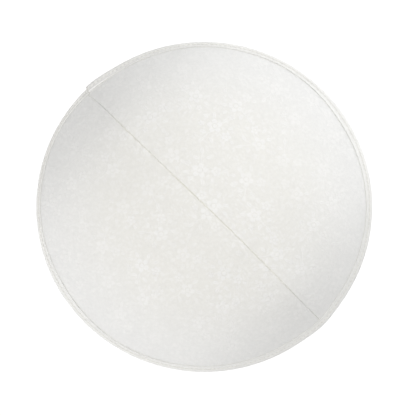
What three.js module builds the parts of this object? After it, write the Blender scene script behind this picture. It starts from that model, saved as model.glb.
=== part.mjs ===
// A two-panel kippah (skullcap) of white figured cloth, resting crown up on its rim.
//
// Units are millimetres and +Z is up. The resting surface is z = 0 and the origin is the middle of the rim.
// Inside the cap's own group the seam runs along x, and the group is turned about z by seamHeading.
//
// Every point of the cloth is found from two numbers. reach runs from 0 at the crown's peak to 1 at the rim's
// fold, and turn is the angle about z from the seam's +x end.

import * as THREE from "three";

const degrees = Math.PI / 180;

// Size of the whole cap
const capLength = 181.8; // across the rim, along its longer axis
const capWidth = 178.6; // across the rim, square to that
const capHeight = 38; // resting surface to the top of the crown

// Cloth
const panelWall = 1.0; // figured cloth with its backing
const bindingWall = 1.0; // binding strip with its edge turned in
const clearance = 0.3; // between cloths that touch

// Seam through the crown
const seamHeading = -44.6 * degrees; // from +X to the seam's lower right end
const longAxisTurn = 44.6 * degrees; // from the seam to the rim's longer axis
const seamBow = 1.0; // sideways, at mid-length
const seamPoint = 0.65; // how far the rim stands out at the seam's +x end
const seamPointHalfWidth = 9.0; // along the rim

// Form of the crown
const peakOffset = -4.3; // of the peak and the pressed crease from the middle, along the seam
const endRoundness = 2.2; // power of the fall towards the seam's ends, where the crown is full
const sideRoundness = 1.65; // power of the fall towards the panels' middles, where it is flatter
const peakRounding = 15.0; // radius over which the peak is softened
const creaseDrop = 0.9; // fall of the cloth to each side of the pressed crease
const creaseHalfWidth = 8.0;
const creaseFade = 3; // power of its fading towards the rim

// Rim binding
const bindingLeg = 2.8; // mean length of the outer leg, from the fold to its edge
const bindingInside = 4.0; // length of the inner leg
const bindingEdgeBevel = 0.3;
const footCut = 0.12; // how much of the fold is pressed flat where it rests
const lapRise = 0.9; // how far the lapped end stands proud
const lapLength = 22.0; // along the rim, until it lies level
const lapEnd = 0.8; // along the rim, over which the end drops to the strip below
const footSlopeShare = 0.8; // the foot's inner half turns through less than this share of the cloth's slope

// The strip is folded a little unevenly. leg is the outer leg's length as a share of bindingLeg.
const bindingFold = [
  { turn: 15, leg: 1.41 },
  { turn: 45, leg: 1.11 },
  { turn: 75, leg: 1.23 },
  { turn: 105, leg: 0.85 },
  { turn: 135, leg: 0.73 },
  { turn: 165, leg: 1.15 },
  { turn: 195, leg: 0.56 },
  { turn: 225, leg: 0.76 },
  { turn: 255, leg: 1.05 },
  { turn: 285, leg: 0.84 },
  { turn: 315, leg: 1.10 },
  { turn: 345, leg: 1.33 },
];

// Fineness of the meshes
const spokesPerPanel = 48;
const ringsPerPanel = 16;
const foldSteps = 4; // round the fold, from its top to the foot
const slopeStep = 1e-3; // of reach or turn, between the points that a slope is found from

// Sizes that follow
const slotHalf = panelWall / 2 + clearance;
const foldRadius = slotHalf + bindingWall;
const foldHeight = foldRadius - footCut;
const crownRise = capHeight - foldHeight - panelWall / 2;
const footHalfAngle = Math.acos(foldHeight / foldRadius);
const meanRadius = (capLength + capWidth) / 4;

function smoothStep(share) {
  const s = THREE.MathUtils.clamp(share, 0, 1);
  return s * s * (3 - 2 * s);
}

// The smallest angle between two turns.
function turnBetween(a, b) {
  return Math.abs(Math.atan2(Math.sin(a - b), Math.cos(a - b)));
}

// Radius of the binding's outer edge: an oval, with a slight point where the seam meets it.
function rimRadius(turn) {
  const a = capLength / 2;
  const b = capWidth / 2;
  const angle = turn - longAxisTurn;
  const oval = (a * b) / Math.hypot(b * Math.cos(angle), a * Math.sin(angle));
  const along = turnBetween(turn, 0) * meanRadius;
  return oval + seamPoint * Math.exp(-((along / seamPointHalfWidth) ** 2));
}

// A point of the panels' middle surface.
function clothPoint(reach, turn) {
  const foldAt = rimRadius(turn) - foldRadius;
  const x = peakOffset * (1 - reach) + reach * foldAt * Math.cos(turn);
  const y = reach * foldAt * Math.sin(turn) + seamBow * (1 - reach ** 2);
  const power = sideRoundness + (endRoundness - sideRoundness) * Math.cos(turn) ** 2;
  const soft = peakRounding / meanRadius;
  const fallTo = (share) => Math.hypot(share, soft) ** power - soft ** power;
  const fall = fallTo(reach) / fallTo(1);
  const besideCrease = 1 - 1 / (1 + ((x - peakOffset) / creaseHalfWidth) ** 2);
  const sag = creaseDrop * besideCrease * (1 - reach ** creaseFade);
  return new THREE.Vector3(x, y, foldHeight + crownRise * (1 - fall) - sag);
}

// The direction down the cloth away from the peak, with its length for one unit of reach.
function clothSlope(reach, turn) {
  const below = clothPoint(reach + slopeStep, turn);
  return below.sub(clothPoint(reach - slopeStep, turn)).divideScalar(2 * slopeStep);
}

function clothNormal(reach, turn) {
  if (reach === 0) return new THREE.Vector3(0, 0, 1);
  const around = clothPoint(reach, turn + slopeStep).sub(clothPoint(reach, turn - slopeStep));
  return clothSlope(reach, turn).cross(around).normalize();
}

// A mesh geometry from points and faces of three or four corners each.
function geometryOf(points, faces) {
  const index = [];
  for (const [a, b, c, d] of faces) {
    index.push(a, b, c);
    if (d !== undefined) index.push(a, c, d);
  }
  const geometry = new THREE.BufferGeometry().setFromPoints(points);
  geometry.setIndex(index);
  geometry.computeVertexNormals();
  return geometry;
}

// Half of the crown, as a wall of even thickness. It spans half a turn from startTurn, and side is 1 where it
// lies on +y of the seam and -1 on the other side.
function crownPanel(startTurn, side) {
  const points = [];
  const faces = [];
  const edgeReach = 1 - clearance / meanRadius;
  const seamHalfGap = clearance / 2;

  function add(reach, turn, height) {
    const shift = side * seamHalfGap * (1 - reach * Math.abs(Math.sin(turn)));
    const point = clothPoint(reach, turn).addScaledVector(clothNormal(reach, turn), height);
    point.y += shift;
    return points.push(point) - 1;
  }

  // skin[spoke][ring], where ring 0 is the peak and is one point for all spokes
  function addSkin(height) {
    const peak = add(0, startTurn, height);
    const skin = [];
    for (let spoke = 0; spoke <= spokesPerPanel; spoke += 1) {
      const turn = startTurn + (Math.PI * spoke) / spokesPerPanel;
      const line = [peak];
      for (let ring = 1; ring <= ringsPerPanel; ring += 1) {
        line.push(add((edgeReach * ring) / ringsPerPanel, turn, height));
      }
      skin.push(line);
    }
    return skin;
  }

  const outer = addSkin(panelWall / 2);
  const inner = addSkin(-panelWall / 2);
  for (let spoke = 0; spoke < spokesPerPanel; spoke += 1) {
    faces.push([outer[spoke][0], outer[spoke][1], outer[spoke + 1][1]]);
    faces.push([inner[spoke][0], inner[spoke + 1][1], inner[spoke][1]]);
    for (let ring = 1; ring < ringsPerPanel; ring += 1) {
      const here = outer[spoke];
      const next = outer[spoke + 1];
      faces.push([here[ring], here[ring + 1], next[ring + 1], next[ring]]);
      const hereInside = inner[spoke];
      const nextInside = inner[spoke + 1];
      faces.push([hereInside[ring], nextInside[ring], nextInside[ring + 1], hereInside[ring + 1]]);
    }
    const last = ringsPerPanel;
    faces.push([outer[spoke][last], inner[spoke][last], inner[spoke + 1][last], outer[spoke + 1][last]]);
  }
  for (let ring = 0; ring < ringsPerPanel; ring += 1) {
    const first = 0;
    const end = spokesPerPanel;
    faces.push([outer[first][ring], inner[first][ring], inner[first][ring + 1], outer[first][ring + 1]]);
    faces.push([outer[end][ring + 1], inner[end][ring + 1], inner[end][ring], outer[end][ring]]);
  }
  return geometryOf(points, faces);
}

// The outer leg's length at a turn, between the rows of bindingFold.
function outerLeg(turn) {
  const gap = 360 / bindingFold.length;
  const place = (((turn / degrees - bindingFold[0].turn) % 360) + 360) % 360 / gap;
  const row = Math.floor(place) % bindingFold.length;
  const nextRow = (row + 1) % bindingFold.length;
  const share = smoothStep(place - Math.floor(place));
  return bindingLeg * THREE.MathUtils.lerp(bindingFold[row].leg, bindingFold[nextRow].leg, share);
}

// How far the lapped end lifts the binding's outside at a turn.
function lapAt(turn) {
  const before = (Math.PI - turn) * meanRadius;
  if (before < 0) return lapRise * (1 - smoothStep(-before / lapEnd));
  return lapRise * (1 - smoothStep(before / lapLength));
}

// The binding's section at a turn: a strip folded round the panels' edge, with a slot that they lie in.
function bindingSection(turn) {
  const down = clothSlope(1, turn);
  const reachPerLength = 1 / down.length();
  down.normalize();
  const up = clothNormal(1, turn);
  const fold = clothPoint(1, turn);
  const radius = foldRadius + lapAt(turn);
  const outside = outerLeg(turn);

  function onLeg(length, height) {
    const reach = 1 - length * reachPerLength;
    return clothPoint(reach, turn).addScaledVector(clothNormal(reach, turn), height);
  }

  function onFold(angle, size) {
    return fold
      .clone()
      .addScaledVector(up, size * Math.cos(angle))
      .addScaledVector(down, size * Math.sin(angle));
  }

  const slope = Math.atan2(-down.z, up.z);
  const footStart = Math.PI - slope - footHalfAngle;
  const footEnd = Math.PI - slope + Math.min(footHalfAngle, footSlopeShare * slope);
  const section = [onLeg(outside, radius - bindingEdgeBevel), onLeg(outside - bindingEdgeBevel, radius)];
  section.push(onLeg(outside / 2, radius));
  for (let step = 0; step < foldSteps; step += 1) {
    section.push(onFold((footStart * step) / foldSteps, radius));
  }
  section.push(onFold(footStart, radius).setZ(0), onFold(footEnd, foldRadius).setZ(0));
  section.push(onFold(Math.PI, foldRadius));
  section.push(onLeg(bindingInside - bindingEdgeBevel, -foldRadius));
  section.push(onLeg(bindingInside, -foldRadius + bindingEdgeBevel));
  section.push(onLeg(bindingInside, -slotHalf), onLeg(0, -slotHalf));
  section.push(onLeg(0, slotHalf), onLeg(outside, slotHalf));
  for (const point of section) point.z = Math.max(point.z, 0);
  return section;
}

function rimBinding() {
  const turns = [];
  for (let spoke = 0; spoke < 2 * spokesPerPanel; spoke += 1) {
    const turn = (Math.PI * spoke) / spokesPerPanel;
    turns.push(turn);
    if (spoke === spokesPerPanel) turns.push(turn + lapEnd / meanRadius);
  }
  const sections = turns.map(bindingSection);
  const corners = sections[0].length;
  const faces = [];
  for (let place = 0; place < sections.length; place += 1) {
    const here = place * corners;
    const next = ((place + 1) % sections.length) * corners;
    for (let corner = 0; corner < corners; corner += 1) {
      const after = (corner + 1) % corners;
      faces.push([here + corner, here + after, next + after, next + corner]);
    }
  }
  return geometryOf(sections.flat(), faces);
}

const panelCloth = new THREE.MeshStandardMaterial({ color: 0xf2f1ec, roughness: 0.6, metalness: 0 });
const bindingCloth = new THREE.MeshStandardMaterial({ color: 0xefeee9, roughness: 0.55, metalness: 0 });

function piece(name, geometry, material) {
  const mesh = new THREE.Mesh(geometry, material);
  mesh.name = name;
  return mesh;
}

const kippah = new THREE.Group();
kippah.rotation.z = seamHeading;
kippah.add(
  piece("crown_panel_right", crownPanel(0, 1), panelCloth),
  piece("crown_panel_left", crownPanel(Math.PI, -1), panelCloth.clone()),
  piece("rim_binding", rimBinding(), bindingCloth),
);

export default kippah;
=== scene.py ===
"""Dresses a two-panel kippah (skullcap) of white figured cloth that rests crown up on its rim.

Lengths are metres and +Z is up. The resting surface is z = 0 and the origin is the middle of the rim. In the
cap's own frame the seam runs along x, and that frame is turned about z by the form's heading.
"""

import logging
import math
from dataclasses import dataclass
from enum import Enum
from typing import Dict, List, Sequence, Tuple, Union

import bpy
import numpy as np
from mathutils import Matrix, Vector


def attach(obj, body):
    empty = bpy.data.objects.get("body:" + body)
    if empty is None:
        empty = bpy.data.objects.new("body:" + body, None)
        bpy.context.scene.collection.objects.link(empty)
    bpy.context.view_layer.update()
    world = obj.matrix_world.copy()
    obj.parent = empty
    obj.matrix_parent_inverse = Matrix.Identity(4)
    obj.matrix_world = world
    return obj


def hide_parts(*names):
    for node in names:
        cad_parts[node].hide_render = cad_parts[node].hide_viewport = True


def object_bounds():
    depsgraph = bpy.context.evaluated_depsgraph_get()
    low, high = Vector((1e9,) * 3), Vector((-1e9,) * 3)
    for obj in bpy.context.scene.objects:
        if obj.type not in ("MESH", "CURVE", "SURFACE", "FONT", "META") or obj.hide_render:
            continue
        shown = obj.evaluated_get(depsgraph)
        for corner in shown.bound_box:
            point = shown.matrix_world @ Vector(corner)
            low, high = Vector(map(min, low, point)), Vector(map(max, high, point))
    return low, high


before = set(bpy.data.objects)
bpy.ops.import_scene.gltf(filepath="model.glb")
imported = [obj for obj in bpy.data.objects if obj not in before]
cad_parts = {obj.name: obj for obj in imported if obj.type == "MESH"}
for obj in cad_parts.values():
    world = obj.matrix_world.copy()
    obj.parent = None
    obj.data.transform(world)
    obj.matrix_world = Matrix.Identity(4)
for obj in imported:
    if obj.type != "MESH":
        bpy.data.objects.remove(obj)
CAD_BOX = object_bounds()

LOG = logging.getLogger("kippah")
MM = 0.001
CLOTH_MAP = "cloth_mm"
# A UV map of distances in mm, which places the painted shade lines.
SHADE_LINE_MAP = "lines_mm"
FAR = 20 * MM

Array = np.ndarray
Piece = bpy.types.Object
Finish = bpy.types.Material
Tree = bpy.types.NodeTree
Node = bpy.types.Node
Socket = bpy.types.NodeSocket
Pair = Tuple[float, float]
Triple = Tuple[float, float, float]
Colour = Tuple[float, float, float, float]
Labels = Sequence[str]
Value = Union[float, Sequence[float], Socket]


def smooth_step(share: Array) -> Array:
    """Eases a share from 0 to 1. Less than 0 counts as 0 and more than 1 as 1."""
    held = np.clip(share, 0, 1)
    return held * held * (3 - 2 * held)


def bell(distance: Array, half_width: float) -> Array:
    """Gives a smooth hump: 1 in the middle, about a third at the half width, and 0 far away."""
    return np.exp(-((distance / half_width) ** 2))


def unit(vectors: Array) -> Array:
    """Gives each vector a length of 1."""
    return vectors / np.linalg.norm(vectors, axis=-1, keepdims=True)


def turn_between(a: Array, b: float) -> Array:
    """Gives the smallest angle between turns a and b."""
    return np.abs(np.arctan2(np.sin(a - b), np.cos(a - b)))


@dataclass(frozen=True)
class Dent:
    """A soft dent or swell of the crown, placed in the cap's own frame."""

    x: float
    y: float
    radius: float
    rise: float


@dataclass(frozen=True)
class CrownForm:
    """The shape that the crown's cloth takes at rest.

    A point of the cloth is found from two numbers. reach runs from 0 at the crown's peak to 1 at the rim's
    fold, and turn is the angle about z from the seam's +x end.
    """

    length: float
    width: float
    height: float
    heading: float = math.radians(-44.6)
    long_axis_turn: float = math.radians(44.6)
    panel_wall: float = 0.26 * MM
    fold_radius: float = 1.1 * MM
    foot_cut: float = 0.12 * MM
    seam_bow: float = 1.0 * MM
    seam_bow_at: float = 22.0 * MM
    seam_bow_half_width: float = 52.0 * MM
    seam_slip: float = 1.3 * MM
    seam_slip_half_width: float = 7.0 * MM
    seam_straight_from: float = 0.965
    seam_point: float = 0.65 * MM
    seam_point_half_width: float = 9.0 * MM
    peak_offset: float = -4.3 * MM
    end_roundness: float = 2.2
    side_roundness: float = 1.65
    peak_rounding: float = 15.0 * MM
    crease_drop: float = 0.9 * MM
    crease_half_width: float = 8.0 * MM
    crease_fade: float = 3
    crease_line: float = 0.18 * MM
    crease_line_half_width: float = 1.4 * MM
    seam_pucker: float = 0.10 * MM
    seam_pucker_length: float = 7.3 * MM
    seam_pucker_fade: float = 5.0 * MM
    seam_pucker_wander: float = 1.7
    seam_pucker_drift: float = 0.31
    seam_pucker_lag: float = 1.1
    rim_ripple: float = 0.16 * MM
    rim_ripples: int = 31
    rim_ripple_fade: float = 7.0 * MM
    rim_ripple_wander: float = 1.3
    rim_ripple_beats: int = 5
    dents: Tuple[Dent, ...] = ()
    relief_ends: Pair = (0.89, 0.95)
    slope_step: float = 1e-3
    path_points: int = 25

    @property
    def mean_radius(self) -> float:
        """Mean radius of the rim."""
        return (self.length + self.width) / 4

    @property
    def fold_height(self) -> float:
        """Height of the panels' edge, in the middle of the binding's fold."""
        return self.fold_radius - self.foot_cut

    @property
    def foot_half_angle(self) -> float:
        """Half of the angle of the fold that is pressed flat where it rests."""
        return math.acos(self.fold_height / self.fold_radius)

    def rim_radius(self, turn: Array) -> Array:
        """Gives the radius of the binding's outer edge: an oval with a slight point at the seam's +x end."""
        a = self.length / 2
        b = self.width / 2
        angle = turn - self.long_axis_turn
        oval = a * b / np.hypot(b * np.cos(angle), a * np.sin(angle))
        along = turn_between(turn, 0) * self.mean_radius
        return oval + self.seam_point * bell(along, self.seam_point_half_width)

    def seam_line(self, reach: Array, x: Array) -> Array:
        """Finds how far the seam lies beside a straight line.

        It has a slow bow, and a slip where the binding caught it.

        Args:
            reach: 0 at the peak to 1 at the rim's fold.
            x: along the seam, in the cap's own frame.

        Returns:
            The distances towards +y, which fade to nothing under the binding.
        """
        bow = self.seam_bow * bell(x - self.seam_bow_at, self.seam_bow_half_width)
        slip = self.seam_slip * bell(x + self.mean_radius, self.seam_slip_half_width)
        under = smooth_step((reach - self.seam_straight_from) / (1 - self.seam_straight_from))
        return (bow - slip) * (1 - under)

    def point(self, reach: Array, turn: Array) -> Array:
        """Finds points of the cloth's middle surface, before its low relief.

        Args:
            reach: 0 at the peak to 1 at the rim's fold.
            turn: angle about z from the seam's +x end.

        Returns:
            The points in the cap's own frame, with x, y and z in the last axis.
        """
        fold_at = self.rim_radius(turn) - self.fold_radius
        x = self.peak_offset * (1 - reach) + reach * fold_at * np.cos(turn)
        to_side = np.abs(reach * np.sin(turn))
        y = reach * fold_at * np.sin(turn) + self.seam_line(reach, x) * (1 - np.minimum(to_side, 1))
        power = self.side_roundness + (self.end_roundness - self.side_roundness) * np.cos(turn) ** 2
        soft = self.peak_rounding / self.mean_radius
        fallen = np.hypot(reach, soft) ** power - soft**power
        whole = np.hypot(1, soft) ** power - soft**power
        beside_crease = 1 - 1 / (1 + ((x - self.peak_offset) / self.crease_half_width) ** 2)
        sag = self.crease_drop * beside_crease * (1 - np.abs(reach) ** self.crease_fade)
        rise = self.height - self.fold_height - self.panel_wall / 2
        return np.stack([x, y, self.fold_height + rise * (1 - fallen / whole) - sag], axis=-1)

    def slope(self, reach: Array, turn: Array) -> Array:
        """Gives the way down the cloth, away from the peak, with its length for one unit of reach."""
        step = self.slope_step
        return (self.point(reach + step, turn) - self.point(reach - step, turn)) / (2 * step)

    def normal(self, reach: Array, turn: Array) -> Array:
        """Gives the direction that points out of the cloth."""
        clear = np.maximum(reach, 2 * self.slope_step)
        step = self.slope_step
        around = self.point(clear, turn + step) - self.point(clear, turn - step)
        return unit(np.cross(self.slope(clear, turn), around))

    def relief(self, reach: Array, turn: Array) -> Array:
        """Finds the low relief of the sewn and folded cloth.

        Args:
            reach: 0 at the peak to 1 at the rim's fold.
            turn: angle about z from the seam's +x end.

        Returns:
            How far the cloth stands out of its plain form, along the normal.
        """
        place = self.point(reach, turn)
        x = place[..., 0]
        y = place[..., 1]
        fade = 1 - np.clip(reach, 0, 1) ** self.crease_fade
        rise = self.crease_line * bell(x - self.peak_offset, self.crease_line_half_width) * fade
        from_seam = np.abs(y - self.seam_line(reach, x))
        wave = 2 * math.pi * x / self.seam_pucker_length
        drift = self.seam_pucker_wander * np.sin(wave * self.seam_pucker_drift)
        pucker = np.sin(wave + drift + self.seam_pucker_lag * np.sign(y))
        rise = rise + self.seam_pucker * pucker * bell(from_seam, self.seam_pucker_fade)
        wander = self.rim_ripple_wander * np.sin(self.rim_ripple_beats * turn)
        ripple = np.sin(self.rim_ripples * turn + wander)
        from_ripple = (1 - reach) * self.mean_radius - self.rim_ripple_fade
        rise = rise + self.rim_ripple * ripple * bell(from_ripple, self.rim_ripple_fade / 2)
        for dent in self.dents:
            rise = rise + dent.rise * bell(np.hypot(x - dent.x, y - dent.y), dent.radius)
        start, end = self.relief_ends
        return rise * (1 - smooth_step((reach - start) / (end - start)))

    def cloth_length(self, reach: Array, turn: Array) -> Array:
        """Measures the cloth from the peak to each point.

        Args:
            reach: 0 at the peak to 1 at the rim's fold.
            turn: angle about z from the seam's +x end.

        Returns:
            The lengths along the cloth.
        """
        shares = np.linspace(0, 1, self.path_points)[:, None]
        path = self.point(shares * reach[None, :], np.broadcast_to(turn, (self.path_points, len(turn))))
        return np.linalg.norm(np.diff(path, axis=0), axis=-1).sum(axis=0)

    def placed(self, points: Array) -> Array:
        """Turns points from the cap's own frame to where it lies."""
        turned = np.array(Matrix.Rotation(self.heading, 3, "Z"))
        return points @ turned.T


DENTS: Tuple[Dent, ...] = (
    Dent(x=-63 * MM, y=0 * MM, radius=15 * MM, rise=2.0 * MM),
    Dent(x=63 * MM, y=-2 * MM, radius=15 * MM, rise=2.0 * MM),
    Dent(x=-34 * MM, y=38 * MM, radius=14 * MM, rise=-0.25 * MM),
    Dent(x=30 * MM, y=44 * MM, radius=12 * MM, rise=0.25 * MM),
    Dent(x=-22 * MM, y=-44 * MM, radius=13 * MM, rise=0.25 * MM),
    Dent(x=34 * MM, y=-36 * MM, radius=15 * MM, rise=-0.25 * MM),
)


def active_piece(name: str) -> Piece:
    """Names the object that an operator has just made, and its mesh."""
    piece = bpy.context.object
    piece.name = name
    piece.data.name = name
    return piece


def mesh_points(mesh: bpy.types.Mesh) -> Array:
    """Reads a mesh's points, one row each."""
    flat = np.empty(len(mesh.vertices) * 3)
    mesh.vertices.foreach_get("co", flat)
    return flat.reshape(-1, 3)


def move_points(mesh: bpy.types.Mesh, points: Array) -> None:
    """Puts a mesh's vertices at these points."""
    mesh.vertices.foreach_set("co", points.astype(np.float32).ravel())
    mesh.update()


def add_map(mesh: bpy.types.Mesh, name: str, flat: Array) -> None:
    """Gives a mesh a UV map in millimetres.

    Args:
        mesh: the mesh.
        name: the map's name.
        flat: each vertex's place on the map, in metres.
    """
    corner = np.empty(len(mesh.loops), dtype=np.int32)
    mesh.loops.foreach_get("vertex_index", corner)
    layer = mesh.uv_layers.get(name) or mesh.uv_layers.new(name=name)
    layer.data.foreach_set("uv", (flat[corner] / MM).astype(np.float32).ravel())


def finish_piece(piece: Piece, slot: str, *nodes: str) -> None:
    """Hands a finished piece to the frame.

    Args:
        piece: the piece.
        slot: the record's material slot; not used.
        nodes: the CAD nodes that it stands for.
    """
    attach(piece, "root")
    if nodes:
        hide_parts(*nodes)


@dataclass
class CrownPanel:
    """Half of the crown: one cut of cloth whose edge is turned under and pressed back at the seam."""

    name: str
    node: str
    form: CrownForm
    binding: "RimBinding"
    start_turn: float
    grain_turn: float
    grain_shift: Pair
    columns: int = 200
    body_rows: int = 92
    roll_rows: int = 6
    turning_rows: int = 5
    first_row_share: float = 0.28
    seam_gap: float = 0.03 * MM
    roll_radius: float = 0.12 * MM
    roll_added: float = 0.09 * MM
    roll_added_at: float = 76.0 * MM
    roll_added_length: float = 8.0 * MM
    roll_eased: float = 0.045 * MM
    roll_eased_at: float = 14.0 * MM
    roll_eased_length: float = 34.0 * MM
    turning: float = 7.0 * MM
    end_turning: float = 0.3 * MM
    trimmed_from: float = 12.0 * MM
    trimmed_to: float = 5.0 * MM
    edge_gap: float = 0.1 * MM
    small_step: float = 1e-3
    # How fast the seam's painted shade line fades out over the cloth that is folded under.
    shade_line_fade: float = 4

    def _roll_size(self, along: Array) -> Array:
        """Gives the roll's radius along the seam, larger near the ends and smaller near the middle."""
        from_end = np.abs(along) * self.form.mean_radius - self.roll_added_at
        eased = bell(along * self.form.mean_radius - self.roll_eased_at, self.roll_eased_length)
        added = bell(from_end, self.roll_added_length)
        return self.roll_radius + self.roll_added * added - self.roll_eased * eased

    def _turning_width(self, along: Array) -> Array:
        """Gives the turning's width, which is trimmed away under the binding."""
        from_rim = (1 - np.abs(along)) * self.form.mean_radius
        share = smooth_step((from_rim - self.trimmed_to) / (self.trimmed_from - self.trimmed_to))
        return self.end_turning + (self.turning - self.end_turning) * share

    def _reach_and_turn(self, along: Array, up: Array) -> Tuple[Array, Array]:
        """Maps a half square to the panel's half round.

        Args:
            along: -1 to 1 along the seam.
            up: 0 at the seam to 1 at the rim.

        Returns:
            The reach and turn of each place.
        """
        x = along * np.sqrt(1 - up**2 / 2)
        y = up * np.sqrt(1 - along**2 / 2)
        edge_reach = 1 - self.edge_gap / self.form.mean_radius
        return edge_reach * np.hypot(x, y), self.start_turn + np.arctan2(y, x)

    def _body_point(self, along: Array, up: Array, height: Array) -> Array:
        """Finds points of the panel beside the seam's roll.

        Args:
            along: -1 to 1 along the seam.
            up: 0 at the roll to 1 at the rim.
            height: over the cloth's middle surface.

        Returns:
            The points in the cap's own frame.
        """
        reach, turn = self._reach_and_turn(along, up)
        lift = height + self.form.relief(reach, turn)
        points = self.form.point(reach, turn) + self.form.normal(reach, turn) * lift[:, None]
        inset = self.seam_gap / 2 + self.form.panel_wall / 2 + self._roll_size(along)
        points[:, 1] += math.cos(self.start_turn) * inset * (1 - reach * np.abs(np.sin(turn)))
        return points

    def _roll_point(self, along: Array, angle: Array) -> Array:
        """Finds points of the roll that takes the cloth down and under at the seam.

        Args:
            along: -1 to 1 along the seam.
            angle: 0 at the top of the roll to pi beneath it.

        Returns:
            The points in the cap's own frame.
        """
        none = np.zeros_like(along)
        reach, turn = self._reach_and_turn(along, none)
        start = self._body_point(along, none, none)
        out = self.form.normal(reach, turn)
        inward = self._body_point(along, none + self.small_step, none) - start
        inward = unit(inward - out * np.sum(inward * out, axis=1, keepdims=True))
        aside = (self._roll_size(along) * np.sin(angle))[:, None]
        drop = (self._roll_size(along) * (1 - np.cos(angle)))[:, None]
        return start - inward * aside - out * drop

    def _place(self, along: Array, row: Array) -> Tuple[Array, Array, Array]:
        """Places the grid's vertices.

        Args:
            along: -1 to 1 along the seam.
            row: the vertex's row, from the turning's free edge to the rim.

        Returns:
            The points in the cap's own frame, their places on the flat cloth, and their distances from the
            seam and from the binding's edge.
        """
        none = np.zeros_like(along)
        body_start = self.turning_rows + self.roll_rows
        share = np.clip((row - body_start) / self.body_rows, 0, 1)
        up = self.first_row_share * share + (1 - self.first_row_share) * share**2
        body = self._body_point(along, up, none)
        angle = math.pi * np.clip((body_start - row) / self.roll_rows, 0, 1)
        roll = self._roll_point(along, angle)
        under = np.clip((self.turning_rows - row) / self.turning_rows, 0, 1)
        width = under * self._turning_width(along)
        turning = self._body_point(along, width / self.form.mean_radius, -2 * self._roll_size(along))
        in_body = (row >= body_start)[:, None]
        in_turning = (row < self.turning_rows)[:, None]
        points = np.where(in_body, body, np.where(in_turning, turning, roll))

        reach, turn = self._reach_and_turn(along, up)
        length = self.form.cloth_length(reach, turn)
        flat = np.stack([length * np.cos(turn), length * np.sin(turn)], axis=1)
        folded = self._roll_size(along) * angle + width
        flat[:, 1] -= math.cos(self.start_turn) * folded
        # The distances from the seam and from the binding's edge place painted shade: the seam's groove and
        # the binding's inner edge are painted darker and yellowish.
        from_line = np.abs(points[:, 1] - self.form.seam_line(reach, points[:, 0]))
        from_seam = from_line + self.shade_line_fade * folded
        to_fold = (1 - reach) * np.linalg.norm(self.form.slope(np.ones_like(turn), turn), axis=-1)
        return points, flat, np.stack([from_seam, to_fold - self.binding.outer_leg(turn)], axis=1)

    def build(self) -> Piece:
        """Models the panel.

        Returns:
            The finished piece, with its outside in the first material slot and its inside in the second.
        """
        rows = self.turning_rows + self.roll_rows + self.body_rows
        bpy.ops.object.select_all(action="DESELECT")
        bpy.ops.mesh.primitive_grid_add(x_subdivisions=self.columns, y_subdivisions=rows, size=2)
        piece = active_piece(self.name)
        square = mesh_points(piece.data)
        row = np.rint((square[:, 1] + 1) / 2 * rows)
        points, flat, shade_line_distances = self._place(np.clip(square[:, 0], -1, 1), row)
        move_points(piece.data, self.form.placed(points))
        turned = np.array(Matrix.Rotation(self.grain_turn, 2))
        add_map(piece.data, CLOTH_MAP, flat @ turned.T + np.array(self.grain_shift))
        add_map(piece.data, SHADE_LINE_MAP, shade_line_distances)

        wall = piece.modifiers.new("wall", "SOLIDIFY")
        wall.thickness = self.form.panel_wall
        wall.offset = 0
        wall.use_even_offset = True
        wall.material_offset = 1
        wall.material_offset_rim = 1
        piece.data.materials.append(None)
        piece.data.materials.append(None)
        bpy.ops.object.modifier_apply(modifier=wall.name)
        bpy.ops.object.shade_smooth()
        return piece

    def dress(self, piece: Piece, outside: Finish, inside: Finish) -> None:
        """Gives the panel the right and the wrong side of its cloth and hands it to the frame."""
        piece.data.materials[0], piece.data.materials[1] = outside, inside
        finish_piece(piece, "figured_cloth", self.node)


FOLD_LEGS = (1.24, 1.04, 1.23, 0.80, 0.73, 1.00, 0.46, 0.46, 1.05, 0.72, 0.83, 1.06)


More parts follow.
